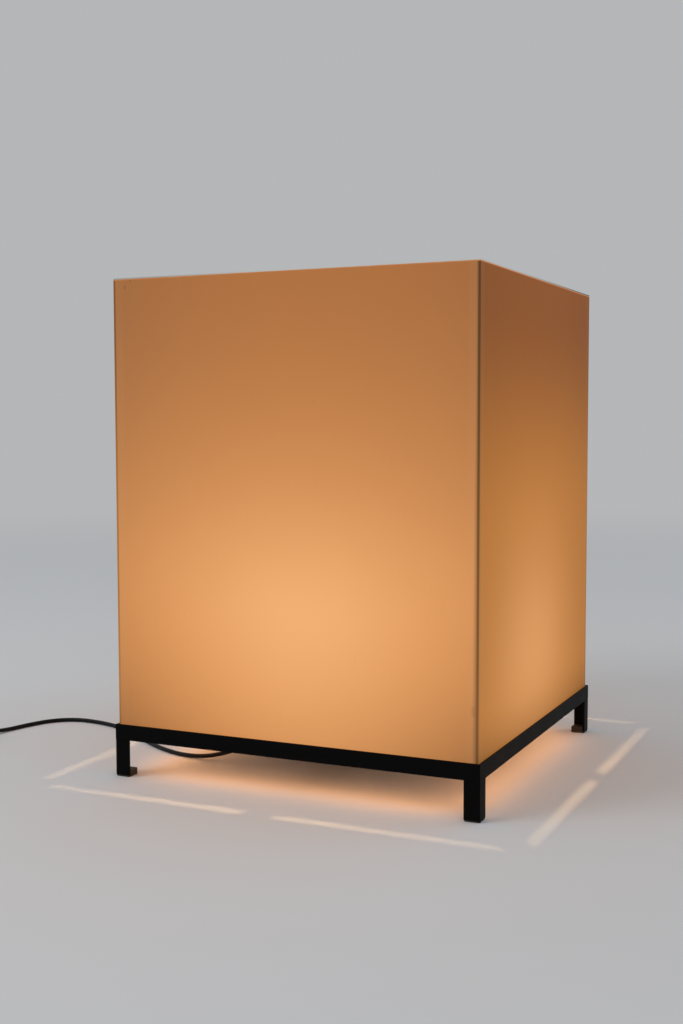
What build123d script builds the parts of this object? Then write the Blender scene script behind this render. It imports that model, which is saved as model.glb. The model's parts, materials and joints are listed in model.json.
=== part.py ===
from build123d import *
import os
from math import atan2, degrees, pi, radians, sqrt, tan

# A box lamp: an opal shade standing in a tray of steel angle on four short legs.
# Millimetres, Z up. The floor is z = 0, the lamp's centre is x = y = 0, the front faces -Y.

# Overall sizes
side = 540.0  # outside of the steel frame, square in plan
height = 696.0  # floor to the top of the shade
angle = 22.0  # flange width of the angle steel
steel = 3.0  # thickness of all the flat and angle steel
rail_bottom = 52.0  # underside of the rails above the floor
rail_top = rail_bottom + angle
tray = rail_bottom + steel  # the shade stands on the rails' inner flanges
half = side / 2

# Shade
sheet = 3.0  # acrylic sheet
shade_play = 1.0  # gap between the shade and the upright flanges
shade_half = half - steel - shade_play
strip = 12.0  # square strip glued into each upright corner

# Floor of the lamp
bar_width = 30.0  # flat steel cross bars
plate_half = 226.0
plate_top = tray + steel
plate_screw_at = 190.0
flange_edge = half - angle

# Feet
foot_sole = 2.0
foot_height = 9.0

# Screws
m4 = 4.0
m4_hole = 4.4
m4_head = 8.0
m4_head_height = 2.6
m4_nut_height = 3.2
m4_across_flats = 7.0

# Lamp holder and bulb, on the lamp's upright centre line
bracket_height = 24.0
bracket_top_half = 22.0
bracket_foot_half = 40.0
bracket_width = 30.0
bracket_sheet = 2.0
bracket_screw_at = 31.0
bracket_top = plate_top + bracket_height
nipple_radius = 4.95
nipple_bore = 3.75
holder_radius = 19.0
holder_rim = bracket_top + 56.0
insert_bottom = bracket_top + 14.0
insert_top = bracket_top + 26.0
bulb_seat = bracket_top + 29.0  # where the bulb's centre contact touches
socket_radius = 13.6
globe_radius = 30.0

# Mains lead
cord = 6.3
on_floor = cord / 2 + 0.1  # height of the lead's centre where it lies on the floor
grip_x, grip_y = -26.0, -130.0  # cord grip, beside the front cross bar
grip_z = 47.5  # height at which the lead leaves the grip
grip_end = -61.0
core = 2.2  # one insulated core

# In-line switch and plug, lying on the floor with their length along Y
switch_x, switch_near, switch_far = -589.0, -182.0, -246.0
switch_width = 27.0
switch_height = 22.0
switch_seam = 7.5  # the lead enters at the seam between the two shells
rocker_tilt = 8.0
plug_x, plug_back = -730.0, -210.0
plug_width = 35.3
plug_thickness = 13.7
plug_tail = 22.0
plug_length = 37.0

# Coil of the put-away length: two layers, spiralling in on the floor and out on top
coil_radius = 46.5
coil_pitch = 8.1
coil_rise = 7.2
coil_in = 5  # half turns before the climb
coil_out = 4  # half turns after it
coil_x, coil_y = -657.2, -251.3

parts = {}


def block(x0, x1, y0, y1, z0, z1):
    return Pos((x0 + x1) / 2, (y0 + y1) / 2, (z0 + z1) / 2) * Box(x1 - x0, y1 - y0, z1 - z0)


def rod(x, y, z0, z1, radius):
    return Pos(x, y, (z0 + z1) / 2) * Cylinder(radius, z1 - z0)


def rounded_block(x, y, width, depth, z0, z1, radius):
    return Pos(x, y, z0) * extrude(RectangleRounded(width, depth, radius), z1 - z0)


def hexagon(x, y, z0, z1, across_flats, hole):
    outline = RegularPolygon(across_flats / 2, 6, major_radius=False)
    return Pos(x, y, z0) * extrude(outline - Circle(hole / 2), z1 - z0)


def turned(*outline):
    """A solid of revolution about the lamp's centre line, from (radius, height) points."""
    return revolve(Plane.XZ * Polygon(*outline, align=None), Axis.Z)


def group(solids):
    return Compound(children=list(solids))


def quarter(solid, turns):
    return Rot(0, 0, 90 * turns) * solid


# Steel frame


def rail():
    """The front rail: angle steel with its upright flange outside, mitred at both ends."""
    outline = Polygon(
        (-half, rail_bottom), (-flange_edge, rail_bottom), (-flange_edge, tray),
        (-half + steel, tray), (-half + steel, rail_top), (-half, rail_top), align=None,
    )
    outline = fillet(outline.vertices(), 0.7)
    bar = Pos(-half, 0, 0) * extrude(Plane.YZ * outline, side)
    mitre = Polygon((-half, -half), (half, -half), (0, 0), align=None)
    return bar & extrude(mitre, rail_top)


def leg():
    """The front left leg, with its corner outside, butt welded under the rails' mitre."""
    outline = Polygon(
        (-half, -half), (-flange_edge, -half), (-flange_edge, -half + steel),
        (-half + steel, -half + steel), (-half + steel, -flange_edge), (-half, -flange_edge),
        align=None,
    )
    outline = fillet(outline.vertices(), 0.7)
    return Pos(0, 0, foot_sole) * extrude(outline, rail_bottom - foot_sole)


def foot():
    """The front left foot: a moulded pad that fills the leg's inner corner."""
    sole_at = -half + angle / 2
    sole = rounded_block(sole_at, sole_at, angle - 0.6, angle - 0.6, 0, foot_sole, 2)
    plug_side = angle - steel - 0.4
    plug_at = -half + steel + 0.1 + plug_side / 2
    plug = rounded_block(plug_at, plug_at, plug_side, plug_side, foot_sole, foot_height, 1.5)
    return sole + chamfer(plug.edges().group_by(Axis.Z)[-1], 0.6)


for turns, place in enumerate(("front", "right", "back", "left")):
    parts[f"rail_{place}"] = quarter(rail(), turns)
for turns, place in enumerate(("front_left", "front_right", "back_right", "back_left")):
    parts[f"leg_{place}"] = quarter(leg(), turns)
    parts[f"foot_{place}"] = quarter(foot(), turns)

# Cross bars, bottom plate and its screws

plate_screws = [(plate_screw_at, 0), (-plate_screw_at, 0), (0, plate_screw_at), (0, -plate_screw_at)]
bracket_screws = [(bracket_screw_at, 0), (-bracket_screw_at, 0)]
sheath_end = Vector(0, -9.0)  # the sheathed lead ends here, under the holder's bracket
lead_start = Vector(grip_x, grip_y)
lead_heading = (sheath_end - lead_start).normalized()
lead_side = Vector(lead_heading.Y, -lead_heading.X)  # to the right of the lead, in plan
clip_at = lead_start + lead_heading * 108
clip_hole = clip_at + lead_side * 9.5
clip_screw = (clip_hole.X, clip_hole.Y)


def drilled(solid, places, z0, z1):
    for x, y in places:
        solid -= rod(x, y, z0, z1, m4_hole / 2)
    return solid


def cross_bar(x0, x1, y0, y1):
    bar = block(x0, x1, y0, y1, rail_bottom, tray)
    return drilled(bar, plate_screws + bracket_screws + [clip_screw], rail_bottom - 1, tray + 1)


def bottom_plate():
    plate = rounded_block(0, 0, 2 * plate_half, 2 * plate_half, tray, plate_top, 6)
    plate = drilled(plate, plate_screws + bracket_screws + [clip_screw], tray - 1, plate_top + 1)
    return plate - rod(grip_x, grip_y, tray - 1, plate_top + 1, 6.1)


def m4_screw(x, y, head_z):
    shank = rod(x, y, rail_bottom - m4_nut_height - 1, head_z, m4 / 2 - 0.05)
    head = rod(x, y, head_z, head_z + m4_head_height, m4_head / 2)
    head = fillet(head.edges().group_by(Axis.Z)[-1], 1.2)
    slot = Box(1.0, m4_head * 0.6, 2.4) + Box(m4_head * 0.6, 1.0, 2.4)
    return shank + head - Pos(x, y, head_z + m4_head_height) * slot


arm = bar_width / 2
parts["cross_bar_long"] = cross_bar(-flange_edge, flange_edge, -arm, arm)
parts["cross_bar_front"] = cross_bar(-arm, arm, -flange_edge, -arm)
parts["cross_bar_back"] = cross_bar(-arm, arm, arm, flange_edge)
parts["bottom_plate"] = bottom_plate()

clip_sheet = 1.2
screw_heads = [(*p, plate_top) for p in plate_screws]
screw_heads += [(*p, plate_top + bracket_sheet) for p in bracket_screws]
screw_heads += [(*clip_screw, plate_top + clip_sheet)]
parts["m4_screws"] = group(m4_screw(*p) for p in screw_heads)
parts["m4_nuts"] = group(
    hexagon(x, y, rail_bottom - m4_nut_height, rail_bottom, m4_across_flats, m4)
    for x, y, _ in screw_heads
)

# Lamp holder


def bracket():
    """A hat-shaped strip of steel that carries the lamp holder clear of the plate."""
    low, up = plate_top, plate_top + bracket_sheet
    top, under = bracket_top, bracket_top - bracket_sheet
    foot_x, wall_x, inner_x = bracket_foot_half, bracket_top_half, bracket_top_half - bracket_sheet
    right = [(foot_x, up), (foot_x, low), (inner_x, low), (inner_x, under)]
    left = [(-x, z) for x, z in reversed(right)]
    outline = Polygon(
        *right, *left, (-wall_x, up), (-wall_x, top), (wall_x, top), (wall_x, up), align=None
    )
    outline = fillet(outline.vertices(), 0.9)
    hat = Pos(0, bracket_width / 2, 0) * extrude(Plane.XZ * outline, bracket_width)
    hat = drilled(hat, bracket_screws, low - 1, up + 1)
    return hat - rod(0, 0, under - 1, top + 1, nipple_radius + 0.2)


parts["holder_bracket"] = bracket()
nipple_bottom, nipple_top = bracket_top - 8, bracket_top + 12
parts["threaded_nipple"] = rod(0, 0, nipple_bottom, nipple_top, nipple_radius) - rod(
    0, 0, nipple_bottom, nipple_top, nipple_bore
)
nut_bottom = bracket_top - bracket_sheet - 3
parts["nipple_nut"] = hexagon(0, 0, nut_bottom, nut_bottom + 3, 14, 2 * nipple_radius + 0.1)

cap_z = bracket_top
parts["holder_cap"] = turned(
    (nipple_radius + 0.05, cap_z), (8.5, cap_z), (8.5, cap_z + 5), (17, cap_z + 11),
    (holder_radius, cap_z + 14), (holder_radius, cap_z + 20), (holder_radius - 2, cap_z + 20),
    (holder_radius - 2, insert_bottom), (14, insert_bottom), (nipple_radius + 1.2, nipple_top),
    (nipple_radius + 0.05, nipple_top),
)
insert_radius = holder_radius - 2.3
parts["holder_insert"] = rod(0, 0, insert_bottom, insert_top, insert_radius) - rod(
    0, 0, insert_top - 3, insert_top, 11
)
parts["holder_shell"] = turned(
    (holder_radius, cap_z + 20), (holder_radius, holder_rim - 1.5), (holder_radius - 1.5, holder_rim),
    (socket_radius + 1, holder_rim), (socket_radius, holder_rim - 1), (socket_radius, insert_top),
    (holder_radius - 2, insert_top), (holder_radius - 2, cap_z + 20),
)


def contacts():
    """The sprung centre tongue and the side tongue, on the insert."""
    floor = insert_top - 3
    foot_of_tongue = block(-9, 4, -2.5, 2.5, floor, floor + 0.6)
    riser = block(3.4, 4, -2.5, 2.5, floor, bulb_seat - 0.6)
    pad = block(-3, 4, -2.5, 2.5, bulb_seat - 0.6, bulb_seat)
    side_foot = block(-4, 4, 6, 10, floor, floor + 0.6)
    side_riser = block(-4, 4, 9.4, 10, floor, insert_top + 2)
    return group([foot_of_tongue + riser + pad, side_foot + side_riser])


parts["holder_contacts"] = contacts()

# Bulb, standing on its centre contact

screw_z0, screw_z1 = bulb_seat + 5.0, bulb_seat + 26.0
thread_pitch = 3.6
neck_z = holder_rim + 1.0
globe_z = neck_z + 44.0  # centre of the globe's ball
globe_open = neck_z + 35.0  # the edge where the globe sits in the housing
globe_edge = sqrt(globe_radius**2 - (globe_z - globe_open) ** 2)
board_z = globe_open - 4.0  # the LED board lies on a ledge in the housing


def screw_cap():
    """A rolled screw cap: a thin tube with rounded ridges at the thread's pitch."""
    cap = rod(0, 0, screw_z0, screw_z1, 12.3)
    for ridge in range(5):
        cap += Pos(0, 0, screw_z0 + 3.0 + ridge * thread_pitch) * Torus(12.3, 0.85)
    return cap - rod(0, 0, screw_z0, screw_z1, 11.6)


def housing():
    """The bulb's flared body: a shell with a neck that plugs into the screw cap."""
    neck = [(10.2, screw_z1 - 6), (11.5, screw_z1 - 6), (11.5, screw_z1), (13.0, screw_z1)]
    outside = [(14.2, neck_z + 2), (19.6, neck_z + 18), (globe_edge, globe_open)]
    seat = [(globe_edge - 1.6, globe_open), (25.0, board_z), (23.0, board_z)]
    inside = [(22.0, board_z - 5), (17.6, neck_z + 16), (12.6, neck_z + 2)]
    return turned(*neck, *outside, *seat, *inside)


def globe():
    ball = Pos(0, 0, globe_z) * (Sphere(globe_radius) - Sphere(globe_radius - 1.2))
    return ball & rod(0, 0, globe_open, globe_z + globe_radius + 1, globe_radius + 1)


board_radius = 24.0
chip_ring = 15.0
parts["bulb_tip"] = Pos(0, 0, bulb_seat) * extrude(Circle(4.6), 1.5, taper=20)
parts["bulb_insulator"] = turned(
    (0, bulb_seat + 1.5), (5.5, bulb_seat + 1.5), (11.6, screw_z0), (11.5, screw_z0 + 1.5), (0, screw_z0 + 1.5)
)
parts["bulb_screw_cap"] = screw_cap()
parts["bulb_housing"] = housing()
parts["bulb_globe"] = globe()
parts["led_board"] = rod(0, 0, board_z, board_z + 1.5, board_radius)
parts["led_chips"] = group(
    Rot(0, 0, 36 * k) * block(chip_ring - 1.4, chip_ring + 1.4, -1.75, 1.75, board_z + 1.5, board_z + 2.3)
    for k in range(10)
)
driver_z0, driver_z1 = screw_z0 + 3.0, neck_z + 16.0
parts["driver_board"] = block(-8.5, 8.5, -0.8, 0.8, driver_z0, driver_z1)
parts["driver_parts"] = group([
    rod(-3, 5.0, neck_z, neck_z + 13, 4.0),
    rod(5, 3.4, neck_z - 2, neck_z + 9, 2.4),
    block(-5, 4, -7.0, -0.9, neck_z + 2, neck_z + 11),
])

# Cord grip: the lead comes in level from the left and turns up through the plate


def cord_grip():
    body = block(grip_end + 25, grip_x + 10, grip_y - 9, grip_y + 9, grip_z - 7.5, tray)
    body = fillet(body.edges().filter_by(Axis.Z), 2.5)
    neck = rod(grip_x, grip_y, tray, plate_top + 8, 5.9)
    tail = Rot(0, -90, 0) * extrude(Circle(5.6), 25, taper=3.4)
    return body + neck + Pos(grip_end + 25, grip_y, grip_z) * tail


parts["cord_grip"] = cord_grip()
parts["cord_grip_nut"] = hexagon(grip_x, grip_y, plate_top, plate_top + 4, 17, 11.9)

# Leads


def bend_radii(points):
    """As large an arc at each point as its two runs allow."""
    radii = []
    for before, here, after in zip(points, points[1:], points[2:]):
        came, goes = Vector(*here) - Vector(*before), Vector(*after) - Vector(*here)
        turn = radians(came.get_angle(goes))
        radii.append(0.45 * min(came.length, goes.length) / tan(turn / 2))
    return radii


def tube(path, diameter):
    start = path @ 0
    return sweep(Plane(start, z_dir=path % 0) * Circle(diameter / 2), path)


def lead(name, points, diameter):
    radii = bend_radii(points)
    path = FilletPolyline(*points, radius=radii)
    solid = tube(path, diameter)
    share = solid.volume / (pi * diameter**2 / 4 * path.length)
    print(f"{name}: {path.length:.0f} mm, least radius {min(radii):.1f}, volume share {share:.4f}")
    return solid


# Out of the grip, sagging to the floor, then across it to the switch
run_points = [
    (grip_end, grip_y, grip_z), (-82, grip_y, grip_z), (-113, -132, 38), (-149, -140, 19),
    (-187, -145, 7.5), (-222, -144, on_floor), (-256, -138, on_floor), (-294, -120, on_floor),
    (-336, -93, on_floor), (-382, -60, on_floor), (-428, -31, on_floor), (-476, -17, on_floor),
    (-522, -15, on_floor), (-556, -39, on_floor), (-572, -80, on_floor), (-583, -128, on_floor),
    (switch_x, switch_near + 22, switch_seam), (switch_x, switch_near, switch_seam),
]
parts["cord_run"] = lead("cord_run", run_points, cord)

# Round a quarter turn from the switch to the coil
coil_south = coil_y - coil_radius
link_points = [
    (switch_x, switch_far, switch_seam), (switch_x, switch_far - 14, switch_seam),
    (switch_x - 6.9, switch_far - 30.6, 5), (switch_x - 19.6, switch_far - 43.4, on_floor),
    (switch_x - 39.9, coil_south, on_floor), (coil_x + cord, coil_south, on_floor),
]
parts["cord_link"] = lead("cord_link", link_points, cord)


def coil_stations():
    """Where the coil crosses the north-south line through its middle, each half turn."""
    stations = []
    for k in range(coil_in + coil_out + 2):
        steps_out = coil_in - k if k <= coil_in else k - coil_in - 1
        radius = coil_radius - (coil_in - steps_out) * coil_pitch / 2
        south = -1 if k % 2 == 0 else 1
        z = on_floor + (coil_rise if k > coil_in else 0)
        stations.append(Vector(coil_x, coil_y + south * radius, z))
    return stations


def coil_path():
    stations = coil_stations()
    west = Vector(-1, 0, 0)
    edges = [Line(stations[0] - west * cord, stations[0])]
    heading = west
    for start, end in zip(stations, stations[1:]):
        across = end - start
        middle = (start + end) / 2 + heading * (across.length / 2)
        edges.append(TangentArc(start, middle, tangent=heading))
        edges.append(TangentArc(middle, end, tangent=edges[-1] % 1))
        heading = heading * -1
    edges.append(Line(stations[-1], stations[-1] + west * cord))
    return Wire(edges)


def least_gap(path, diameter, apart):
    """The least clear distance between stretches of a path that are not next to each other."""
    count = int(path.length / 2)
    points = [path @ (i / count) for i in range(count + 1)]
    step = path.length / count
    skip = int(apart / step)
    return min(
        (points[i] - points[j]).length for i in range(count + 1) for j in range(i + skip, count + 1)
    ) - diameter


coil_line = coil_path()
parts["cord_coil"] = tube(coil_line, cord)
print(f"cord_coil: {coil_line.length:.0f} mm, least gap to itself {least_gap(coil_line, cord, 60):.2f}")

# Down off the coil and round to the plug
coil_end = coil_stations()[-1]
tail_points = [
    (coil_x - cord, coil_end.Y, coil_end.Z), (coil_x - 25, coil_end.Y, coil_end.Z),
    (coil_x - 47, coil_end.Y + 5, 8.8), (plug_x + 8.5, plug_back - 66, 4.8),
    (plug_x - 0.5, plug_back - 43, on_floor), (plug_x, plug_back - 19, plug_thickness / 2),
    (plug_x, plug_back, plug_thickness / 2),
]
parts["cord_tail"] = lead("cord_tail", tail_points, cord)

# Inside the lamp: the sheathed lead over the plate, then its two cores up the nipple
on_plate = plate_top + cord / 2


def over_plate(along, z):
    """A point above the straight line from the grip to the bracket."""
    at = lead_start + lead_heading * along
    return at.X, at.Y, z


inner_points = [
    over_plate(0, plate_top + 8), over_plate(0, 86), over_plate(12.5, 98.5), over_plate(31, 98.5),
    over_plate(44, 85.5), over_plate(52, 70), over_plate(70, on_plate + 1), over_plate(98, on_plate),
    over_plate((sheath_end - lead_start).length, on_plate),
]
parts["inner_cord"] = lead("inner_cord", inner_points, cord)


def core_route(hand):
    start = sheath_end + lead_side * 1.4 * hand
    inward = start + lead_heading * 3.5
    x = 1.8 * hand
    return [
        (start.X, start.Y, on_plate), (inward.X, inward.Y, on_plate), (x, -1.6, on_plate + 2.4),
        (x, 0, on_plate + 9), (x, 0.1, on_plate + 17), (x, 0, insert_bottom),
    ]


parts["core_brown"] = lead("core_brown", core_route(-1), core)
parts["core_blue"] = lead("core_blue", core_route(1), core)


def cable_clip():
    """A saddle of bent strip over the inner lead, held by one screw."""
    length = 10.0
    inner = cord / 2 + 0.15
    outer = inner + clip_sheet
    arch = (Circle(outer) - Circle(inner)) & (Pos(0, outer / 2) * Rectangle(2 * outer, outer))
    for hand in (-1, 1):
        arch += Pos(hand * (inner + clip_sheet / 2), -cord / 4) * Rectangle(clip_sheet, cord / 2)
    strap = Pos(0, length / 2, cord / 2) * extrude(Plane.XZ * arch, length)
    strap += block(inner, 14.5, -length / 2, length / 2, 0, clip_sheet)
    strap -= rod(9.5, 0, -1, clip_sheet + 1, m4_hole / 2)
    turn = degrees(atan2(lead_side.Y, lead_side.X))
    return Pos(clip_at.X, clip_at.Y, plate_top) * Rot(0, 0, turn) * strap


parts["cable_clip"] = cable_clip()

# In-line switch

switch_length = switch_near - switch_far
switch_y = (switch_near + switch_far) / 2
switch_wall = 2.0
slot_half, slot_width = 10.6, 12.4
rocker_half, rocker_width = 9.4, 11.8
pivot_z = 16.5
cheek = 2.0
screw_spots = [(8.0, -22.0), (-8.0, 22.0)]


def switch_shell(z0, z1, skin_z0, skin_z1):
    """A rounded tray: the outside from z0 to z1, hollow from skin_z0 to skin_z1."""
    outside = rounded_block(switch_x, switch_y, switch_width, switch_length, z0, z1, 7)
    inside = rounded_block(
        switch_x, switch_y, switch_width - 2 * switch_wall, switch_length - 2 * switch_wall,
        skin_z0, skin_z1, 5,
    )
    return outside, inside


def switch_base():
    outside, inside = switch_shell(0, switch_seam, switch_wall, switch_seam)
    outside = fillet(outside.edges().group_by(Axis.Z)[0], 1.5)
    shell = outside - inside
    for dx, dy in screw_spots:
        shell += rod(switch_x + dx, switch_y + dy, switch_wall, switch_seam, 3.2)
    for dx, dy in screw_spots:
        shell -= rod(switch_x + dx, switch_y + dy, 0, 2.2, 2.8)
        shell -= rod(switch_x + dx, switch_y + dy, 2.2, switch_seam, 1.6)
    return shell


def switch_cover():
    outside, inside = switch_shell(switch_seam, switch_height, switch_seam, switch_height - switch_wall)
    outside = fillet(outside.edges().group_by(Axis.Z)[-1], 3)
    shell = outside - inside
    ceiling = switch_height - switch_wall
    for dx, dy in screw_spots:
        post = rod(switch_x + dx, switch_y + dy, switch_seam, ceiling, 3.2)
        shell += post - rod(switch_x + dx, switch_y + dy, switch_seam, ceiling - 2, 1.25)
    for hand in (-1, 1):
        inner = switch_x + hand * slot_width / 2
        outer = inner + hand * cheek
        shell += block(min(inner, outer), max(inner, outer), switch_y - 5, switch_y + 5, 12.5, ceiling)
    shell -= block(
        switch_x - slot_width / 2, switch_x + slot_width / 2,
        switch_y - slot_half, switch_y + slot_half, ceiling - 1, switch_height + 1,
    )
    pivot_hole = Pos(switch_x, switch_y, pivot_z) * Rot(0, 90, 0) * Cylinder(1.55, slot_width + 2 * cheek)
    return shell - pivot_hole


def switch_rocker():
    """A two-way rocker, tilted to one end as it rests, on pins in the cover's cheeks."""
    low, high = -2.6, 7.4
    outline = Polygon(
        (-rocker_half, low + 2), (-4, low), (4, low), (rocker_half, low + 2),
        (rocker_half, high), (0, high - 1.3), (-rocker_half, high), align=None,
    )
    outline = fillet(outline.vertices(), 0.5)
    key = Pos(-rocker_width / 2, 0, 0) * extrude(Plane.YZ * outline, rocker_width)
    pins = Rot(0, 90, 0) * Cylinder(1.5, rocker_width + 2 * 1.6)
    return Pos(switch_x, switch_y, pivot_z) * Rot(rocker_tilt, 0, 0) * (key + pins)


def switch_screw(dx, dy):
    x, y = switch_x + dx, switch_y + dy
    return rod(x, y, 0.4, 2.2, 2.6) + rod(x, y, 2.2, 15, 1.2)


parts["switch_base"] = switch_base()
parts["switch_cover"] = switch_cover()
parts["switch_rocker"] = switch_rocker()
parts["switch_screws"] = group(switch_screw(*spot) for spot in screw_spots)
parts["switch_contacts"] = group(
    block(switch_x + dx - 2.5, switch_x + dx + 2.5, switch_y + dy - 4, switch_y + dy + 4, switch_wall, 7)
    for dx in (-5, 5) for dy in (-12, 12)
)

# Plug: a flat two-pin plug lying on its side, with its pins along +Y

pin_gap = 18.6
sleeve_length, pin_length = 10.0, 19.0
sleeve_radius, pin_radius, pin_core = 1.95, 2.0, 1.5
plug_front = plug_back + plug_tail + plug_length
plug_z = plug_thickness / 2


def along_y(x, y0, length, radius, taper=0):
    """A round bar at the plug's mid height, from y0 towards the pins' tips."""
    return Pos(x, y0, plug_z) * Rot(-90, 0, 0) * extrude(Circle(radius), length, taper=taper)


def plug_body():
    wide, slim, shoulder = plug_width / 2, 7.5, 15.0
    back = plug_back + plug_tail
    outline = Polygon(
        (plug_x - slim, back), (plug_x + slim, back), (plug_x + wide, back + shoulder),
        (plug_x + wide, plug_front), (plug_x - wide, plug_front), (plug_x - wide, back + shoulder),
        align=None,
    )
    body = extrude(fillet(outline.vertices(), 3.5), plug_thickness)
    body = fillet(body.edges().group_by(Axis.Z)[-1] + body.edges().group_by(Axis.Z)[0], 2.4)
    body += along_y(plug_x, plug_back, plug_tail + 1, 3.7, taper=-5)
    for hand in (-1, 1):
        x = plug_x + hand * pin_gap / 2
        body += along_y(x, plug_front - 0.5, sleeve_length + 0.5, sleeve_radius)
        body -= along_y(x, plug_front - 12, sleeve_length + 12, pin_core)
    return body


def pin(hand):
    x = plug_x + hand * pin_gap / 2
    tip = along_y(x, plug_front + sleeve_length, pin_length - sleeve_length, pin_radius)
    tip = fillet(tip.edges().group_by(Axis.Y)[-1], 1.2)
    return tip + along_y(x, plug_front - 12, sleeve_length + 12, pin_core)


parts["plug_body"] = plug_body()
parts["plug_pins"] = group([pin(-1), pin(1)])

# Shade: four sheets butt-jointed over square strips, with a sheet on top

shade_top = height
wall_top = shade_top - sheet
inside = shade_half - sheet
parts["panel_front"] = block(-inside, inside, -shade_half, -inside, tray, wall_top)
parts["panel_back"] = block(-inside, inside, inside, shade_half, tray, wall_top)
parts["panel_left"] = block(-shade_half, -inside, -shade_half, shade_half, tray, wall_top)
parts["panel_right"] = block(inside, shade_half, -shade_half, shade_half, tray, wall_top)
parts["top_panel"] = block(-shade_half, shade_half, -shade_half, shade_half, wall_top, shade_top)
parts["corner_strips"] = group(
    quarter(block(-inside, strip - inside, -inside, strip - inside, tray, wall_top), turns)
    for turns in range(4)
)

for name, solid in parts.items():
    export_step(solid, f"parts/{name}.step")
print(len(parts), "nodes")
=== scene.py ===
import json
from math import cos, pi, radians, sin

import bmesh
import bpy
from mathutils import Euler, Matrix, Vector


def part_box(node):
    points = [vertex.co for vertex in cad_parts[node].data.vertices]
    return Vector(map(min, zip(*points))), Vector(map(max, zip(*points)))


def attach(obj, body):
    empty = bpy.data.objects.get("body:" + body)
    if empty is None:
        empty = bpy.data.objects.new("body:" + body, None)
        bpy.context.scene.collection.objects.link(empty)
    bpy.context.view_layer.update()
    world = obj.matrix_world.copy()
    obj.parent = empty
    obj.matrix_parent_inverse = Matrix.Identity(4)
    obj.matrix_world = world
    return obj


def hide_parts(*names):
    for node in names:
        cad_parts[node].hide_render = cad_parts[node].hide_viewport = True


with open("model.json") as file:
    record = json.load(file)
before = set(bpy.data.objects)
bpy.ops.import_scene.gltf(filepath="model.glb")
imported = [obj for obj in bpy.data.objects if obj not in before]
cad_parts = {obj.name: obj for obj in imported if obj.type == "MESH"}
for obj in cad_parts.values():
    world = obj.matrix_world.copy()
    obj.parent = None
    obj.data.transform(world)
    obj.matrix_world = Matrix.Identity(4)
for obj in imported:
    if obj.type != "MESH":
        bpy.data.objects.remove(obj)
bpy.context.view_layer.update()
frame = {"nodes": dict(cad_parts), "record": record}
nodes = frame["nodes"]
print("frame loaded:", len(nodes), "nodes")


# Node wires

class Wire:
    # a link in a node tree: arithmetic on it adds Math nodes, node() adds any other node
    def __init__(self, tree, socket=None):
        self.tree = tree
        self.socket = socket

    def node(self, kind, settings=None, inputs=None, out=0):
        made = self.tree.nodes.new(kind)
        for key, value in (settings or {}).items():
            if key == "stops":
                setStops(made.color_ramp, value)
            else:
                setattr(made, key, value)
        for key, value in (inputs or {}).items():
            if isinstance(value, Wire):
                self.tree.links.new(value.socket, made.inputs[key])
            else:
                made.inputs[key].default_value = value
        return Wire(self.tree, made.outputs[out])

    def maths(self, operation, *values):
        return self.node("ShaderNodeMath", {"operation": operation}, dict(enumerate(values)))

    def clamped(self):
        return self.node("ShaderNodeClamp", None, {"Value": self})

    def of(self, colour):
        # a colour, plain or a wire, at this brightness
        return self.node(
            "ShaderNodeVectorMath", {"operation": "SCALE"}, {0: colour, "Scale": self}
        )

    def plus(self, colour):
        return self.node("ShaderNodeVectorMath", {"operation": "ADD"}, {0: self, 1: colour})

    def __add__(self, other):
        return self.maths("ADD", self, other)

    __radd__ = __add__

    def __mul__(self, other):
        return self.maths("MULTIPLY", self, other)

    __rmul__ = __mul__

    def __sub__(self, other):
        return self.maths("SUBTRACT", self, other)

    def __rsub__(self, other):
        return self.maths("SUBTRACT", other, self)

    def __truediv__(self, other):
        return self.maths("DIVIDE", self, other)

    def __rtruediv__(self, other):
        return self.maths("DIVIDE", other, self)

    def __pow__(self, other):
        return self.maths("POWER", self, other)

    def __abs__(self):
        return self.maths("ABSOLUTE", self)

    def __gt__(self, other):
        return self.maths("GREATER_THAN", self, other)

    def __lt__(self, other):
        return self.maths("LESS_THAN", self, other)


def setStops(ramp, stops):
    while len(ramp.elements) < len(stops):
        ramp.elements.new(1.0)
    for element, (place, colour) in zip(ramp.elements, stops):
        element.position = place
        element.color = (*colour, 1.0) if len(colour) == 3 else colour


def mixed(factor, first, second):
    # from the first colour to the second by a factor; each is a plain colour or a wire
    first, second = [c if isinstance(c, Wire) else (*c, 1.0) for c in (first, second)]
    return factor.node(
        "ShaderNodeMix", {"data_type": "RGBA"}, {0: factor, 6: first, 7: second}, out=2
    )


def noise(place, scale, detail=2.0, roughness=0.5):
    return place.node(
        "ShaderNodeTexNoise", None,
        {"Vector": place, "Scale": scale, "Detail": detail, "Roughness": roughness},
    )


def stretched(place, factors):
    return place.node("ShaderNodeMapping", None, {"Vector": place, "Scale": factors})


def bumped(height, distance, strength=1.0):
    return height.node(
        "ShaderNodeBump", None, {"Height": height, "Distance": distance, "Strength": strength}
    )


def ramped(value, low, high):
    # 0 below low and 1 above high, eased between
    return value.node(
        "ShaderNodeMapRange", {"interpolation_type": "SMOOTHSTEP"},
        {"Value": value, "From Min": low, "From Max": high},
    )


def axes(place):
    split = place.node("ShaderNodeSeparateXYZ", None, {"Vector": place}).socket.node
    return [Wire(place.tree, split.outputs[k]) for k in range(3)]


def finish(name, constants, detail):
    # a Principled material: constants set on the shader, detail(place) gives what varies
    made = bpy.data.materials.new(name)
    made.use_nodes = True
    tree = made.node_tree
    shader = tree.nodes["Principled BSDF"]
    for key, value in constants.items():
        shader.inputs[key].default_value = value
    place = Wire(tree).node("ShaderNodeTexCoord", out="Object")
    for key, wire in detail(place).items():
        tree.links.new(wire.socket, shader.inputs[key])
    return made


def dress(material, *names):
    for name in names:
        nodes[name].data.materials.clear()
        nodes[name].data.materials.append(material)


# Camera

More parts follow.
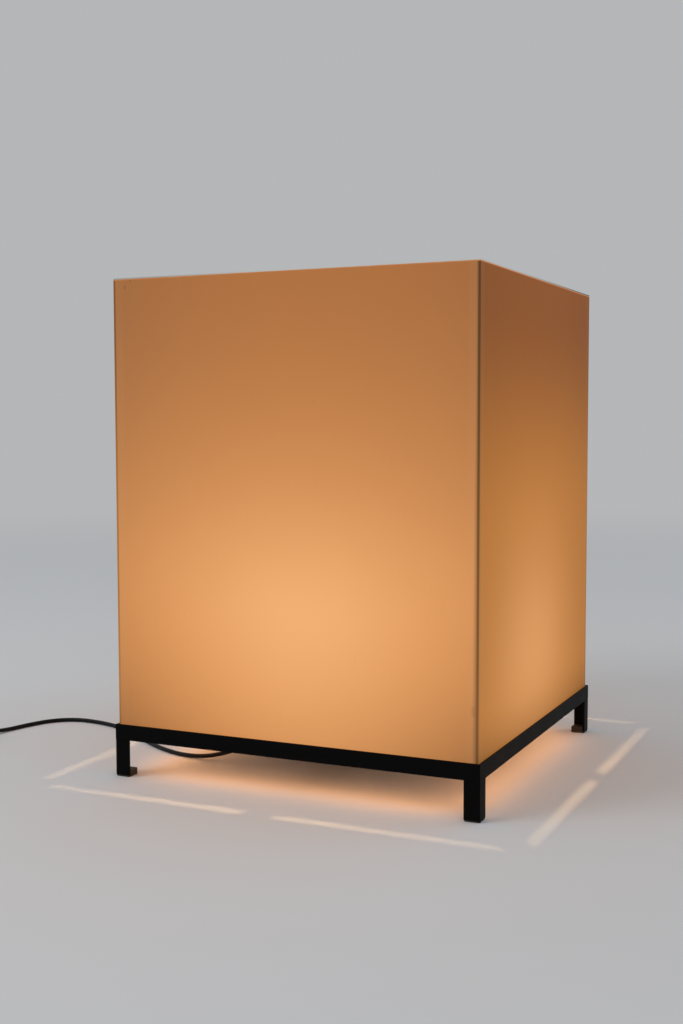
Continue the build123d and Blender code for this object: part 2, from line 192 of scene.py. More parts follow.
cameraSettings = {
    "place": (0.7844, -1.7981, 0.5009),
    "downDegrees": 4.003,
    "rollDegrees": 0.123,
    "turnDegrees": 24.695,
    "lens": 46.21,
}


def makeCamera():
    data = bpy.data.cameras.new("camera")
    data.lens = cameraSettings["lens"]
    camera = bpy.data.objects.new("camera", data)
    camera.location = cameraSettings["place"]
    camera.rotation_euler = (
        radians(90 - cameraSettings["downDegrees"]),
        radians(cameraSettings["rollDegrees"]),
        radians(cameraSettings["turnDegrees"]),
    )
    bpy.context.scene.collection.objects.link(camera)
    bpy.context.scene.camera = camera


makeCamera()
print("camera placed")


# Mains lead, in two free stretches with the switch between them

sheath = 0.0063  # diameter of the mains lead
onFloor = sheath / 2 + 0.0001  # height of its middle where it lies
leadRoute = [
    (-0.061, -0.130, 0.0475), (-0.082, -0.130, 0.0475), (-0.113, -0.132, 0.038),
    (-0.149, -0.140, 0.019), (-0.187, -0.145, 0.0075), (-0.222, -0.144, onFloor),
    (-0.256, -0.138, onFloor), (-0.294, -0.120, onFloor), (-0.336, -0.093, onFloor),
    (-0.382, -0.060, onFloor), (-0.428, -0.031, onFloor), (-0.476, -0.017, onFloor),
    (-0.522, -0.015, onFloor), (-0.556, -0.039, onFloor), (-0.572, -0.080, onFloor),
    (-0.583, -0.128, onFloor), (-0.589, -0.160, 0.0075), (-0.589, -0.182, 0.0075),
]
coil = {
    "middle": (-0.6572, -0.2513),
    "radius": 0.0465,
    "pitch": 0.0081,
    "rise": 0.0072,
    "halfTurnsIn": 5,
    "halfTurnsOut": 4,
    "pointsPerHalfTurn": 12,
}
linkRoute = [
    (-0.589, -0.246, 0.0075), (-0.589, -0.260, 0.0075), (-0.5959, -0.2766, 0.005),
    (-0.6086, -0.2894, onFloor), (-0.6289, -0.2978, onFloor), (-0.6509, -0.2978, onFloor),
]
tailRoute = [
    (-0.6635, -0.29375, onFloor + 0.0072), (-0.6822, -0.29375, onFloor + 0.0072),
    (-0.7042, -0.28875, 0.0088), (-0.7215, -0.276, 0.0048), (-0.7305, -0.253, onFloor),
    (-0.730, -0.229, 0.00685), (-0.730, -0.210, 0.00685),
]


def coilRoute():
    # spirals in on the floor, climbs a layer in the half turn where it reverses, and out again
    inward, outward = coil["halfTurnsIn"], coil["halfTurnsOut"]
    steps = coil["pointsPerHalfTurn"]
    stations = []
    for k in range(inward + outward + 2):
        stepsOut = inward - k if k <= inward else k - inward - 1
        stations.append(coil["radius"] - (inward - stepsOut) * coil["pitch"] / 2)
    route = []
    for k, (start, end) in enumerate(zip(stations, stations[1:])):
        south = -1 if k % 2 == 0 else 1
        middleY = coil["middle"][1] + south * (start - end) / 2
        radius = (start + end) / 2
        for step in range(steps):
            angle = (step + 0.5) * pi / steps
            x = coil["middle"][0] + south * radius * sin(angle)
            y = middleY + south * radius * cos(angle)
            layer = 0 if k < inward else 1 if k > inward else (1 - cos(angle)) / 2
            route.append((x, y, onFloor + layer * coil["rise"]))
    return route


def nurbs(name, points, thickness=0.0):
    data = bpy.data.curves.new(name, "CURVE")
    data.dimensions = "3D"
    data.bevel_depth = thickness / 2
    data.bevel_resolution = 5
    data.resolution_u = 8
    data.use_fill_caps = True
    spline = data.splines.new("NURBS")
    spline.points.add(len(points) - 1)
    for point, place in zip(spline.points, points):
        point.co = (*place, 1.0)
    spline.order_u = 3
    spline.use_endpoint_u = True
    made = bpy.data.objects.new(name, data)
    bpy.context.scene.collection.objects.link(made)
    return made


def lineOf(points):
    # the smooth line that a lead follows, as points, and its length
    bare = nurbs("bareLine", points)
    graph = bpy.context.evaluated_depsgraph_get()
    mesh = bpy.data.meshes.new_from_object(bare.evaluated_get(graph))
    line = [v.co.copy() for v in mesh.vertices]
    bpy.data.meshes.remove(mesh)
    bpy.data.objects.remove(bare)
    return line, sum((b - a).length for a, b in zip(line, line[1:]))


def sheathDetail(place):
    scuffs = ramped(noise(place, 260, 3.0), 0.55, 0.75)
    dust = ramped(noise(place, 45, 4.0), 0.45, 0.8)
    return {
        "Base Color": mixed(dust, (0.0036, 0.0036, 0.0037), (0.0085, 0.0082, 0.0078)),
        "Roughness": 0.42 + scuffs * 0.16,
        "Normal": bumped(noise(place, 900, 2.0), 0.00012, 0.5),
    }


sheathFinish = finish("blackSheath", {"Specular IOR Level": 0.15}, sheathDetail)
tailPoints = linkRoute + coilRoute() + tailRoute
leadLine, leadLength = lineOf(leadRoute)
tailLine, tailLength = lineOf(tailPoints)
mainsLead = nurbs("mainsLead", leadRoute, sheath)
tailLead = nurbs("tailLead", tailPoints, sheath)
for lead in (mainsLead, tailLead):
    lead.data.materials.append(sheathFinish)
    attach(lead, "base")
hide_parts("cord_run")
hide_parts("cord_link", "cord_coil", "cord_tail")
print(f"leads laid: {leadLength:.3f} m and {tailLength:.3f} m")


# Pieces grown by Geometry Nodes

def newTree(name, sizes, needsMesh=True):
    tree = bpy.data.node_groups.new(name, "GeometryNodeTree")
    if needsMesh:
        tree.interface.new_socket("Geometry", in_out="INPUT", socket_type="NodeSocketGeometry")
    for label, value in sizes.items():
        kind = "NodeSocketInt" if isinstance(value, int) else "NodeSocketFloat"
        socket = tree.interface.new_socket(label, in_out="INPUT", socket_type=kind)
        socket.default_value = value
    tree.interface.new_socket("Geometry", in_out="OUTPUT", socket_type="NodeSocketGeometry")
    entry = tree.nodes.new("NodeGroupInput")
    return tree, {s.name: Wire(tree, s) for s in entry.outputs if s.name}


def endTree(geometry, material):
    real = geometry.node("GeometryNodeRealizeInstances", None, {"Geometry": geometry})
    done = real.node("GeometryNodeSetMaterial", None, {"Geometry": real, "Material": material})
    exitNode = geometry.tree.nodes.new("NodeGroupOutput")
    geometry.tree.links.new(done.socket, exitNode.inputs["Geometry"])


def grow(name, tree, sizes, mesh=None):
    # the tree's result as a plain mesh object
    made = bpy.data.objects.new(name, mesh or bpy.data.meshes.new(name))
    bpy.context.scene.collection.objects.link(made)
    modifier = made.modifiers.new("grow", "NODES")
    modifier.node_group = tree
    for item in tree.interface.items_tree:
        if item.in_out == "INPUT" and item.name in sizes:
            modifier[item.identifier] = sizes[item.name]
    graph = bpy.context.evaluated_depsgraph_get()
    result = bpy.data.meshes.new_from_object(made.evaluated_get(graph))
    made.modifiers.clear()
    made.data = result
    result.name = name
    return made


def polyline(points):
    mesh = bpy.data.meshes.new("polyline")
    mesh.from_pydata([tuple(p) for p in points], [(k, k + 1) for k in range(len(points) - 1)], [])
    return mesh


# Ribbed strain reliefs, which follow the lead

reliefs = {
    "ribCount": 7,
    "ribDepth": 0.0006,
    "ribSharpness": 2.5,
    "tipRadius": 0.0037,
    "rings": 120,
    "ringPoints": 24,
    "gripRoot": (-0.036, -0.130, 0.0475),
    "gripRadius": 0.0062,
    "gripLength": 0.040,
    "switchRadius": 0.0052,
    "switchLength": 0.024,
    "plugRoot": (-0.730, -0.188, 0.00685),
    "plugRadius": 0.0064,
    "plugLength": 0.026,
}


def mouldedDetail(place):
    grain = noise(place, 1400, 2.0)
    marks = ramped(noise(place, 70, 4.0), 0.52, 0.72)
    return {
        "Base Color": mixed(marks, (0.0085, 0.0085, 0.0088), (0.017, 0.0165, 0.016)),
        "Roughness": 0.42 + marks * 0.14 + grain * 0.05,
        "Normal": bumped(grain, 0.00009, 0.6),
    }


mouldedBlack = finish("mouldedBlack", {"Specular IOR Level": 0.4}, mouldedDetail)


def reliefTree():
    sizes = {"Root Radius": 0.005, "Tip Radius": 0.004, "Rib Depth": 0.0005, "Rib Count": 7}
    tree, given = newTree("ribbedRelief", sizes)
    path = given["Geometry"].node("GeometryNodeMeshToCurve", None, {"Mesh": given["Geometry"]})
    even = path.node("GeometryNodeResampleCurve", None, {"Curve": path, "Count": reliefs["rings"]})
    along = path.node("GeometryNodeSplineParameter", out="Factor")
    taper = given["Root Radius"] + (given["Tip Radius"] - given["Root Radius"]) * along
    turn = along * given["Rib Count"] * 2 * pi
    ribs = (turn.maths("COSINE", turn) * -reliefs["ribSharpness"]).clamped() * given["Rib Depth"]
    ring = path.node(
        "GeometryNodeCurvePrimitiveCircle", None, {"Resolution": reliefs["ringPoints"], "Radius": 1.0}
    )
    skin = path.node(
        "GeometryNodeCurveToMesh", None,
        {"Curve": even, "Profile Curve": ring, "Scale": taper - ribs, "Fill Caps": True},
    )
    endTree(skin, mouldedBlack)
    return tree


def stretchOf(line, length):
    # the first part of a line, up to that length
    points, gone = [line[0]], 0.0
    for before, here in zip(line, line[1:]):
        step = (here - before).length
        if gone + step >= length:
            points.append(before.lerp(here, (length - gone) / step))
            return points
        gone += step
        points.append(here)
    return points


def makeRelief(name, tree, points, rootRadius):
    made = grow(name, tree, {
        "Root Radius": rootRadius, "Tip Radius": reliefs["tipRadius"],
        "Rib Depth": reliefs["ribDepth"], "Rib Count": reliefs["ribCount"],
    }, polyline(points))
    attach(made, "base")
    return made


ribbedRelief = reliefTree()
gripRoot, plugRoot = Vector(reliefs["gripRoot"]), Vector(reliefs["plugRoot"])
gripTip = gripRoot - Vector((reliefs["gripLength"], 0, 0))
plugTip = plugRoot - Vector((0, reliefs["plugLength"], 0))
gripRelief = makeRelief("gripRelief", ribbedRelief, [gripRoot, gripTip], reliefs["gripRadius"])
switchReliefIn = makeRelief(
    "switchReliefIn", ribbedRelief, stretchOf(leadLine[::-1], reliefs["switchLength"]),
    reliefs["switchRadius"],
)
switchReliefOut = makeRelief(
    "switchReliefOut", ribbedRelief, stretchOf(tailLine, reliefs["switchLength"]),
    reliefs["switchRadius"],
)
plugRelief = makeRelief("plugRelief", ribbedRelief, [plugRoot, plugTip], reliefs["plugRadius"])
print("strain reliefs ribbed")


# Opal shade, lit from inside

# across are the front and back sheets, along are the two side sheets, whose glow is painted dimmer
sheetsAcross = {
    "topColour": (0.329, 0.086, 0.0014),
    "lowColour": (0.706, 0.192, 0.0014),
    "lobeColour": (0.221, 0.233, 0.151),
    "heartAside": 0.023,
    "heartHeight": 0.234,
    "widthAside": 0.218,
    "widthAbove": 0.151,
    "widthBelow": 0.248,
    "sharpness": 0.81,
    "fadeFrom": 0.060,
    "fadeTo": 0.715,
    "endDrop": 0.161,
    "trayShade": 0.422,
    "trayShadeMiddle": 0.249,
    "trayShadeTo": 0.2835,
}
sheetsAlong = {
    "topColour": (0.197, 0.0454, 0.0005),
    "lowColour": (0.419, 0.142, 0.0151),
    "lobeColour": (0.229, 0.1375, 0.0755),
    "heartAside": -0.0274,
    "heartHeight": 0.172,
    "widthAside": 0.364,
    "widthAbove": 0.3136,
    "widthBelow": 0.247,
    "sharpness": 4.0,
    "fadeFrom": 0.350,
    "fadeTo": 0.661,
    "endDrop": 0.122,
    "trayShade": 0.318,
    "trayShadeMiddle": 0.305,
    "trayShadeTo": 0.0858,
}
shadeHalf = 0.266
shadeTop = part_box("top_panel")[1].z
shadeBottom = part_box("panel_front")[0].z
sheet = 0.003
stripInside = 0.251  # the corner strips show from here outwards, as a faint band of painted light in the glow
halfSpan = 0.25
faceDepth = 0.0003  # points this near an outer face belong to it
joint = {
    "edgeGlow": 0.26,
    "lowEdgeGlow": 0.40,
    "edgeFadeFrom": 0.1,
    "fadeTo": 0.6,
    "farEdgeGlow": 0.85,
    "shoulderShade": 0.52,
    "shoulderLow": 0.0092,
    "shoulderTop": 0.0062,
    "shoulderFadeFrom": 0.2,
    "glueBulge": 0.0026,
    "bulgeHeight": 0.139,
    "bulgeHalf": 0.008,
    "sideShade": 0.12,
    "sideShadeWidth": 0.012,
    "stripShare": 0.04,
    "stripLightColour": (0.50, 0.30, 0.18),
}
opal = {
    "acrossColour": (0.085, 0.055, 0.032),
    "alongColour": (0.085, 0.050, 0.018),
    "speckColour": (0.03, 0.018, 0.010),
    "speckDark": 0.18,
    "chipDark": 0.55,
    "fibreHeight": 0.00008,
}


def spread(sheets, along, z):
    # the light on a sheet: a glow that fades upwards, and a lobe where the bulb is nearest
    off = along - sheets["heartAside"]
    aside = off / sheets["widthAside"]
    up = z - sheets["heartHeight"]
    above = up.maths("MAXIMUM", up, 0.0) / sheets["widthAbove"]
    below = up.maths("MINIMUM", up, 0.0) / sheets["widthBelow"]
    lobe = 1 / (1 + aside * aside + above * above + below * below) ** sheets["sharpness"]
    end = 1 - off * off * (sheets["endDrop"] / halfSpan ** 2)
    wide = ramped(z, sheets["fadeFrom"], sheets["fadeTo"])
    wide = mixed(wide, sheets["lowColour"], sheets["topColour"])
    middle = 1 - along * along / halfSpan ** 2
    tray = sheets["trayShade"] + middle * sheets["trayShadeMiddle"]
    low = ((z - shadeBottom) / sheets["trayShadeTo"]).clamped()
    shaded = tray + (1 - tray) * low * (2 - low)
    return shaded.of(end.of(wide).plus(lobe.of(sheets["lobeColour"])))


def between(first, last, factor):
    # a number that goes from first to last as the factor goes from 0 to 1
    return first + (last - first) * factor


def opalDetail(sheets, side):
    # side is the axis along which the sheet runs: 0 for X, 1 for Y
    def detail(place):
        x, y, z = axes(place)
        along = (x, y)[side]
        plain = (opal["acrossColour"], opal["alongColour"])[side]
        fibres = noise(stretched(place, (1.0, 1.0, 0.12)), 420, 3.0)
        clouds = noise(place, 14, 2.0)
        glowing = (0.97 + clouds * 0.03 + fibres * 0.03).of(spread(sheets, along, z))
        # painted light: a faint band in the glow where the corner strips stand behind the sheet
        overStrip = (abs(along) > stripInside) * joint["stripShare"]
        glowing = mixed(overStrip, glowing, joint["stripLightColour"])
        if side == 0:
            # painted shade: the glow darkens beside the glued corner joint, on the right end only, a
            # little wider where the glue bulges
            off = abs(z - joint["bulgeHeight"])
            bulge = 1 - ramped(off, joint["bulgeHalf"] / 2, joint["bulgeHalf"])
            upwards = ramped(z, joint["shoulderFadeFrom"], joint["fadeTo"])
            width = between(joint["shoulderLow"], joint["shoulderTop"], upwards)
            width = width + bulge * joint["glueBulge"]
            depth = (shadeHalf - along - sheet * 0.7) / (width - sheet * 0.7)
            depth = ramped(depth, 0.0, 1.0)
            glowing = (1 - joint["shoulderShade"] * (1 - depth)).of(glowing)
        else:
            # painted shade: the right sheet darkens towards its ends, and the sheets' bare ends at the
            # corners glow dimmer, most on the right
            onRight = x > 0.0
            depth = ramped(shadeHalf - abs(along), 0.0, joint["sideShadeWidth"])
            glowing = (1 - onRight * (1 - depth) * joint["sideShade"]).of(glowing)
            upwards = ramped(z, joint["edgeFadeFrom"], joint["fadeTo"])
            nearEdge = between(joint["lowEdgeGlow"], joint["edgeGlow"], upwards)
            edgeLight = between(joint["farEdgeGlow"], nearEdge, onRight)
            edge = abs(along) > shadeHalf - faceDepth
            glowing = (1 - edge * (1 - edgeLight)).of(glowing)
        specks = ramped(noise(place, 210, 1.0), 0.795, 0.815)
        marks = specks * opal["speckDark"]
        if side == 0:
            marks = marks + chipMarks(x, y, z) * opal["chipDark"]
        return {
            "Emission Color": (1 - marks).of(glowing),
            "Base Color": mixed(specks * 0.5, plain, opal["speckColour"]),
            "Roughness": 0.56 + fibres * 0.12,
            "Normal": bumped(fibres, opal["fibreHeight"], 0.5),
        }
    return detail


# small chips in the front sheet's top left corner, each with its place, its depth below the top,
# and half its width and height
chips = (
    (-0.2475, 0.0130, 0.0009, 0.0032),
    (-0.2385, 0.0045, 0.0014, 0.0012),
    (-0.2230, 0.0110, 0.0005, 0.0007),
)


def chipMarks(x, y, z):
    onFront = y < faceDepth - shadeHalf
    marks = onFront * 0.0
    for middle, depth, halfWide, halfHigh in chips:
        off, up = (x - middle) / halfWide, (z - (shadeTop - depth)) / halfHigh
        marks = marks + (1 - ramped(off * off + up * up, 0.3, 1.0))
    return marks.clamped() * onFront


opalConstants = {"Emission Strength": 1.0, "Specular IOR Level": 0.12}
opalAcross = finish("opalAcross", opalConstants, opalDetail(sheetsAcross, 0))
opalAlong = finish("opalAlong", opalConstants, opalDetail(sheetsAlong, 1))
dress(opalAcross, "panel_front", "panel_back", "corner_strips")
dress(opalAlong, "panel_left", "panel_right")

topSheet = {
    "glowRadius": 0.3,
    "glowOutside": (0.30, 0.10, 0.03),
    "glowMiddle": (0.50, 0.21, 0.075),
    "dustColour": (0.13, 0.11, 0.09),
    "rimDepth": 0.0016,
    "rimGlow": (0.215, 0.215, 0.205),
    "rimColour": (0.34, 0.34, 0.325),
    "underRim": (0.42, 0.135, 0.03),
}


def opalTopDetail(place):
    x, y, z = axes(place)
    heart = 1 / (1 + (x * x + y * y) / topSheet["glowRadius"] ** 2)
    heart = heart * (0.96 + noise(place, 14, 2.0) * 0.08)
    glowing = mixed(heart, topSheet["glowOutside"], topSheet["glowMiddle"])
    atEdge = x.maths("MAXIMUM", abs(x), abs(y)) > shadeHalf - faceDepth
    rim = atEdge * (z > shadeTop - topSheet["rimDepth"])
    # painted light: the bare edge glows grey as though lit from above, and catches less light towards
    # the back right and the far left
    dim = (1 - 0.75 * ramped(y + x, 0.10, 0.55)) * (1 - 0.35 * ramped(-1 * x, 0.0, 0.26))
    glowing = mixed(atEdge, glowing, topSheet["underRim"])
    glowing = mixed(rim, glowing, dim.of(topSheet["rimGlow"]))
    dust = ramped(noise(place, 60, 4.0), 0.5, 0.8)
    plain = mixed(dust, opal["acrossColour"], topSheet["dustColour"])
    return {
        "Emission Color": glowing,
        "Base Color": mixed(rim, plain, dim.of(topSheet["rimColour"])),
        "Roughness": 0.5 + dust * 0.2,
        "Normal": bumped(noise(place, 420, 3.0), opal["fibreHeight"], 0.5),
    }


dress(finish("opalTop", opalConstants, opalTopDetail), "top_panel")
print("shade glows")


# Painted steel, feet and plate

def paintedDetail(place):
    peel = noise(place, 900, 2.0)
    patches = noise(place, 18, 4.0)
    scuffs = ramped(noise(stretched(place, (1.0, 1.0, 6.0)), 130, 5.0), 0.62, 0.72)
    return {
        "Base Color": mixed(scuffs * 0.6, (0.0016, 0.0016, 0.0017), (0.0055, 0.0053, 0.0051)),
        "Roughness": 0.46 + patches * 0.14 + scuffs * 0.12,
        "Normal": bumped(peel, 0.00012, 0.45),
    }


satinBlack = finish("satinBlack", {"Specular IOR Level": 0.05}, paintedDetail)
sideNames = ("front", "right", "back", "left")
cornerNames = ("front_left", "front_right", "back_right", "back_left")
dress(satinBlack, *(f"rail_{s}" for s in sideNames), *(f"leg_{c}" for c in cornerNames))
dress(satinBlack, "cross_bar_long", "cross_bar_front", "cross_bar_back")


def footDetail(place):
    grain = noise(place, 1100, 3.0)
    rubbed = ramped(noise(place, 90, 4.0), 0.5, 0.75)
    return {
        # the dark plastic is tinted brown with painted warm light from the lamp
        "Base Color": mixed(rubbed, (0.030, 0.020, 0.012), (0.060, 0.042, 0.026)),
        "Roughness": 0.6 + grain * 0.15,
        "Normal": bumped(grain, 0.0001, 0.6),
    }


mouldedFoot = finish("mouldedFoot", {"Specular IOR Level": 0.3}, footDetail)
dress(mouldedFoot, *(f"foot_{c}" for c in cornerNames))


def plateDetail(place):
    roller = noise(place, 350, 3.0)
    dust = ramped(noise(place, 9, 5.0), 0.45, 0.75)
    return {
        "Base Color": mixed(dust, (0.80, 0.79, 0.76), (0.66, 0.64, 0.60)),
        "Roughness": 0.55 + dust * 0.2,
        "Normal": bumped(roller, 0.00015, 0.4),
    }


dress(finish("whitePaint", {}, plateDetail), "bottom_plate")
print("frame, feet and plate painted")


# Metals, plastics and the rest of the inside

def zincDetail(place):
    grain = place.node("ShaderNodeTexVoronoi", None, {"Vector": place, "Scale": 260.0}, out="Distance")
    stain = noise(place, 60, 4.0)
    return {
        "Base Color": mixed(stain, (0.55, 0.56, 0.58), (0.70, 0.70, 0.69)),
        "Roughness": 0.24 + grain * 0.2 + stain * 0.1,
        "Normal": bumped(noise(place, 700, 3.0), 0.00006, 0.5),
    }


def tinted(name, low, high, rough, metallic=0.0, scale=220.0, extra=None):
    # a plain moulded, cast or plated finish with its own mottling
    def detail(place):
        mottle = noise(place, scale, 4.0)
        return {
            "Base Color": mixed(mottle, low, high),
            "Roughness": rough + mottle * 0.15,
            "Normal": bumped(noise(place, scale * 4, 2.0), 0.00006, 0.5),
        }
    return finish(name, {"Metallic": metallic, **(extra or {})}, detail)


zinc = finish("zincPlate", {"Metallic": 1.0}, zincDetail)
dress(zinc, "m4_screws", "m4_nuts", "holder_bracket", "threaded_nipple", "nipple_nut", "cable_clip")
dress(zinc, "switch_screws")
phenolic = tinted("phenolic", (0.010, 0.010, 0.010), (0.020, 0.019, 0.018), 0.22)
dress(phenolic, "holder_cap", "holder_shell", "cord_grip", "cord_grip_nut", "bulb_insulator")
dress(tinted("porcelain", (0.84, 0.83, 0.80), (0.78, 0.77, 0.74), 0.3), "holder_insert")
brass = tinted("brass", (0.72, 0.50, 0.22), (0.84, 0.64, 0.33), 0.2, 1.0)
dress(brass, "holder_contacts", "switch_contacts", "bulb_tip")
nickel = tinted("nickel", (0.66, 0.63, 0.58), (0.74, 0.72, 0.68), 0.16, 1.0)
dress(nickel, "bulb_screw_cap", "plug_pins")
dress(mouldedBlack, "switch_base", "switch_cover", "switch_rocker", "plug_body")
dress(sheathFinish, "inner_cord")
dress(tinted("brownCore", (0.12, 0.05, 0.02), (0.17, 0.075, 0.03), 0.4), "core_brown")
dress(tinted("blueCore", (0.02, 0.09, 0.36), (0.04, 0.13, 0.42), 0.4), "core_blue")
dress(tinted("bulbHousing", (0.84, 0.84, 0.82), (0.80, 0.80, 0.77), 0.28), "bulb_housing")
dress(tinted("boardWhite", (0.80, 0.80, 0.78), (0.72, 0.72, 0.70), 0.35), "led_board")
dress(tinted("phosphor", (0.80, 0.55, 0.12), (0.88, 0.66, 0.2), 0.3), "led_chips")
dress(tinted("circuitGreen", (0.02, 0.12, 0.05), (0.04, 0.18, 0.08), 0.4), "driver_board")
dress(tinted("driverBlack", (0.02, 0.02, 0.025), (0.05, 0.05, 0.06), 0.35), "driver_parts")


globe = {
    "fadeFrom": 0.174,
    "fadeTo": 0.198,
    "lowGlow": (0.80, 0.46, 0.20),
    "highGlow": (1.0, 0.72, 0.42),
}


def globeDetail(place):
    # the glow is weaker low down, near the housing
    upwards = ramped(axes(place)[2], globe["fadeFrom"], globe["fadeTo"])
    return {
        "Emission Color": mixed(upwards, globe["lowGlow"], globe["highGlow"]),
        "Base Color": mixed(noise(place, 300, 2.0), (0.30, 0.24, 0.18), (0.34, 0.28, 0.20)),
        "Roughness": 0.35 + noise(place, 500, 2.0) * 0.1,
    }


dress(finish("litGlobe", {"Emission Strength": 0.85}, globeDetail), "bulb_globe")
print("fittings finished")


# Weld beads under the frame's corners and at the cross bars' ends

welds = {
    "beadRadius": 0.0015,
    "beadSpacing": 0.0014,
    "flatness": 0.55,
    "seed": 7,
    "legInside": 0.2668,
    "flangeEnd": 0.2495,
    "barEnd": 0.248,
    "barHalf": 0.0145,
}
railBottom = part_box("rail_front")[0].z


def weldTree():
    sizes = {"Radius": 0.0015, "Spacing": 0.0014, "Flatness": 0.5, "Seed": 7}
    tree, given = newTree("weldBeads", sizes)
    path = given["Geometry"].node("GeometryNodeMeshToCurve", None, {"Mesh": given["Geometry"]})
    dots = path.node(
        "GeometryNodeCurveToPoints", {"mode": "LENGTH"}, {"Curve": path, "Length": given["Spacing"]}
    )
    bead = path.node("GeometryNodeMeshIcoSphere", None, {"Radius": given["Radius"], "Subdivisions": 2})
    uneven = path.node(
        "FunctionNodeRandomValue", {"data_type": "FLOAT"},
        {2: 0.82, 3: 1.18, "Seed": given["Seed"]}, out=1,
    )
    size = path.node(
        "ShaderNodeCombineXYZ", None, {"X": uneven, "Y": uneven, "Z": uneven * given["Flatness"]}
    )
    placed = path.node(
        "GeometryNodeInstanceOnPoints", None, {"Points": dots, "Instance": bead, "Scale": size}
    )
    endTree(placed, satinBlack)
    return tree


def weldLines():
    # an L inside each leg, under the rails, and a line at each bar's end
    legIn, flange = welds["legInside"], welds["flangeEnd"]
    barEnd, arm = welds["barEnd"], welds["barHalf"]
    lines = []
    for sx, sy in ((1, 1), (1, -1), (-1, 1), (-1, -1)):
        lines.append([(sx * flange, sy * legIn), (sx * legIn, sy * legIn), (sx * legIn, sy * flange)])
    for s in (-1, 1):
        lines.append([(s * barEnd, -arm), (s * barEnd, arm)])
        lines.append([(-arm, s * barEnd), (arm, s * barEnd)])
    points, edges = [], []
    for line in lines:
        for k, (x, y) in enumerate(line):
            if k:
                edges.append((len(points) - 1, len(points)))
            points.append((x, y, railBottom))
    mesh = bpy.data.meshes.new("weldLines")
    mesh.from_pydata(points, edges, [])
    return mesh


weldBeads = grow("weldBeads", weldTree(), {
    "Radius": welds["beadRadius"], "Spacing": welds["beadSpacing"],
    "Flatness": welds["flatness"], "Seed": welds["seed"],
}, weldLines())
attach(weldBeads, "base")
print("welds laid")


# Grip ribs round the lamp holder

holderRibs = {
    "count": 30,
    "radius": 0.019,
    "width": 0.0014,
    "depth": 0.0008,
    "bottom": 0.104,
    "top": 0.132,
}


def ribTree():
    sizes = {
        "Count": 30, "Radius": 0.019, "Width": 0.0014, "Depth": 0.0008, "Height": 0.028, "Middle": 0.12,
    }
    tree, given = newTree("holderRibs", sizes, needsMesh=False)
    start = given["Count"]
    ring = start.node(
        "GeometryNodeCurvePrimitiveCircle", None, {"Resolution": start, "Radius": given["Radius"]}
    )
    lifted = start.node("ShaderNodeCombineXYZ", None, {"Z": given["Middle"]})
    raised = start.node("GeometryNodeTransform", None, {"Geometry": ring, "Translation": lifted})
    size = start.node(
        "ShaderNodeCombineXYZ", None,
        {"X": given["Depth"] * 2, "Y": given["Width"], "Z": given["Height"]},
    )
    bar = start.node("GeometryNodeMeshCube", None, {"Size": size})
    facing = start.node("GeometryNodeInputNormal")
    turned = start.node(
        "FunctionNodeAlignRotationToVector", {"axis": "X"}, {"Vector": facing}
    )
    placed = start.node(
        "GeometryNodeInstanceOnPoints", None, {"Points": raised, "Instance": bar, "Rotation": turned}
    )
    endTree(placed, phenolic)
    return tree


ribs = grow("holderRibs", ribTree(), {
    "Count": holderRibs["count"], "Radius": holderRibs["radius"], "Width": holderRibs["width"],
    "Depth": holderRibs["depth"], "Height": holderRibs["top"] - holderRibs["bottom"],
    "Middle": (holderRibs["top"] + holderRibs["bottom"]) / 2,
})
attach(ribs, "base")
print("holder ribbed")


# Floor, world and lamps

studio = {
    "floorColour": (0.62, 0.632, 0.648),
    "backColour": (0.460, 0.470, 0.483),
    "floorRadius": 14.0,
    "floorDrop": 0.0002,
    "fadeFrom": 1.3,
    "fadeTo": 6.0,
    "worldColour": (0.97, 0.985, 1.0),
    "worldStrength": 0.62,
    "aimHeight": 0.3,
    "keyPower": 42.0,
    "keyPlace": (-2.2, -2.4, 2.8),
    "keySize": 1.8,
    "fillPower": 9.0,
    "fillPlace": (2.6, 1.8, 2.4),
    "fillSize": 2.2,
    "bulbPower": 1.1,
    "barPower": 4.5,
    "bulbColour": (1.0, 0.62, 0.30),
    "bulbHeight": 0.170,
    "bulbRadius": 0.006,
    "gapPower": 0.11,
    "gapColour": (1.0, 0.42, 0.13),
    "gapHeight": 0.0515,
    "gapMiddle": 0.237,
    "gapLength": 0.43,
    "gapWidth": 0.018,
}


def floorMaterial():
    made = bpy.data.materials.new("floorPaper")
    made.use_nodes = True
    tree = made.node_tree
    tree.nodes.clear()
    place = Wire(tree).node("ShaderNodeTexCoord", out="Object")
    x, y, z = axes(place)
    far = ramped((x * x + y * y) ** 0.5, studio["fadeFrom"], studio["fadeTo"])
    camera = place.node("ShaderNodeLightPath", out="Is Camera Ray")
    darker = [c * 0.985 for c in studio["floorColour"]]
    paper = mixed(noise(place, 3, 3.0), studio["floorColour"], darker)
    plain = place.node("ShaderNodeBsdfDiffuse", None, {"Color": paper})
    back = place.node("ShaderNodeEmission", None, {"Color": (*studio["backColour"], 1.0)})
    both = place.node("ShaderNodeMixShader", None, {0: far * camera, 1: plain, 2: back})
    exitNode = tree.nodes.new("ShaderNodeOutputMaterial")
    tree.links.new(both.socket, exitNode.inputs["Surface"])
    return made


def makeStage():
    mesh = bpy.data.meshes.new("floor")
    shape = bmesh.new()
    bmesh.ops.create_circle(shape, cap_ends=True, segments=96, radius=studio["floorRadius"])
    shape.to_mesh(mesh)
    shape.free()
    floor = bpy.data.objects.new("floor", mesh)
    bpy.context.scene.collection.objects.link(floor)
    floor.location.z = -studio["floorDrop"]
    mesh.materials.append(floorMaterial())
    return floor


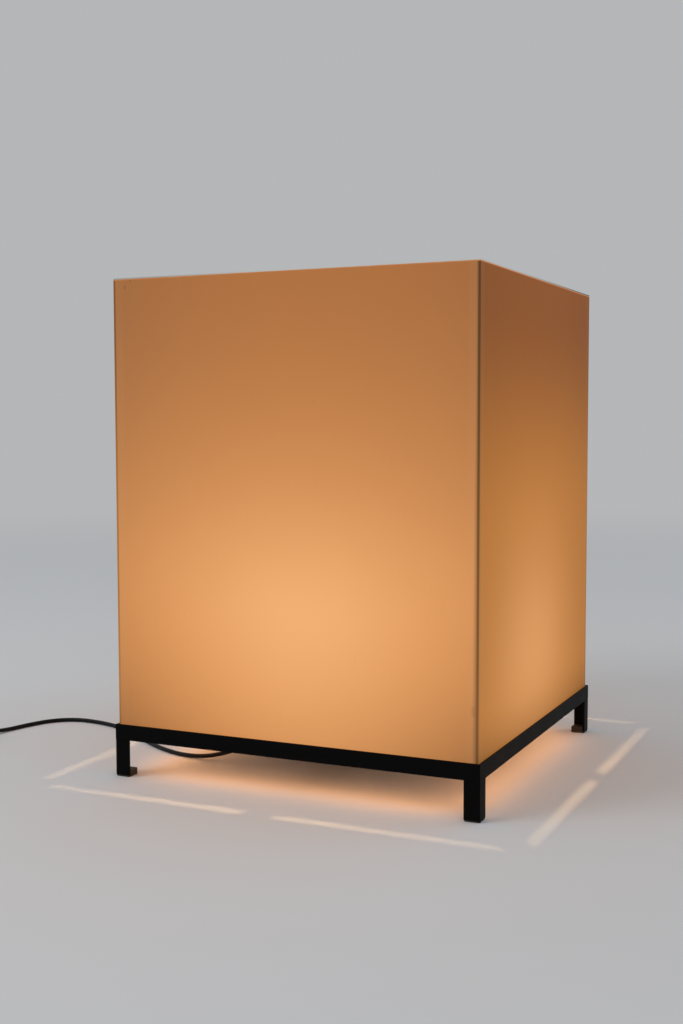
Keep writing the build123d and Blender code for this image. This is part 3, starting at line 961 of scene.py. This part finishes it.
def makeWorld():
    world = bpy.data.worlds.new("studio")
    world.use_nodes = True
    tree = world.node_tree
    tree.nodes.clear()
    start = Wire(tree)
    light = start.node(
        "ShaderNodeBackground", None,
        {"Color": (*studio["worldColour"], 1.0), "Strength": studio["worldStrength"]},
    )
    seen = start.node("ShaderNodeBackground", None, {"Color": (*studio["backColour"], 1.0)})
    camera = start.node("ShaderNodeLightPath", out="Is Camera Ray")
    both = start.node("ShaderNodeMixShader", None, {0: camera, 1: light, 2: seen})
    exitNode = tree.nodes.new("ShaderNodeOutputWorld")
    tree.links.new(both.socket, exitNode.inputs["Surface"])
    bpy.context.scene.world = world


def areaLamp(name, power, place, size):
    data = bpy.data.lights.new(name, "AREA")
    data.energy, data.size = power, size
    lamp = bpy.data.objects.new(name, data)
    lamp.location = place
    aim = Vector((0, 0, studio["aimHeight"])) - Vector(place)
    lamp.rotation_euler = aim.to_track_quat("-Z", "Y").to_euler()
    bpy.context.scene.collection.objects.link(lamp)


def bulbLamps(floor):
    # one lights the lamp, the other only the floor, where it draws the bars of light
    onlyFloor = bpy.data.collections.new("litByBars")
    onlyFloor.objects.link(floor)
    for name, power in (("bulbLight", studio["bulbPower"]), ("barLight", studio["barPower"])):
        data = bpy.data.lights.new(name, "POINT")
        data.energy, data.color = power, studio["bulbColour"]
        data.shadow_soft_size = studio["bulbRadius"]
        lamp = bpy.data.objects.new(name, data)
        lamp.location.z = studio["bulbHeight"]
        if name == "barLight":
            lamp.light_linking.receiver_collection = onlyFloor
        bpy.context.scene.collection.objects.link(lamp)
    for name in frame["record"]["behaviour"]["bodies"]["bulb"]:
        nodes[name].visible_shadow = False  # the globe is opal, so the bulb's light passes it


def gapLamps():
    # the glow that the plate and the shade's inside send down through the gap on each side
    for k in range(4):
        data = bpy.data.lights.new("gapLight", "AREA")
        data.shape = "RECTANGLE"
        data.energy, data.color = studio["gapPower"], studio["gapColour"]
        data.size, data.size_y = studio["gapLength"], studio["gapWidth"]
        lamp = bpy.data.objects.new("gapLight", data)
        out = Vector((0, -studio["gapMiddle"], studio["gapHeight"]))
        out.rotate(Euler((0, 0, k * pi / 2)))
        lamp.location = out
        lamp.rotation_euler.z = k * pi / 2
        lamp.visible_camera = False
        bpy.context.scene.collection.objects.link(lamp)


floor = makeStage()
makeWorld()
areaLamp("keyLamp", studio["keyPower"], studio["keyPlace"], studio["keySize"])
areaLamp("fillLamp", studio["fillPower"], studio["fillPlace"], studio["fillSize"])
bulbLamps(floor)
gapLamps()
bpy.context.scene.view_settings.view_transform = "Standard"
print("studio lit")
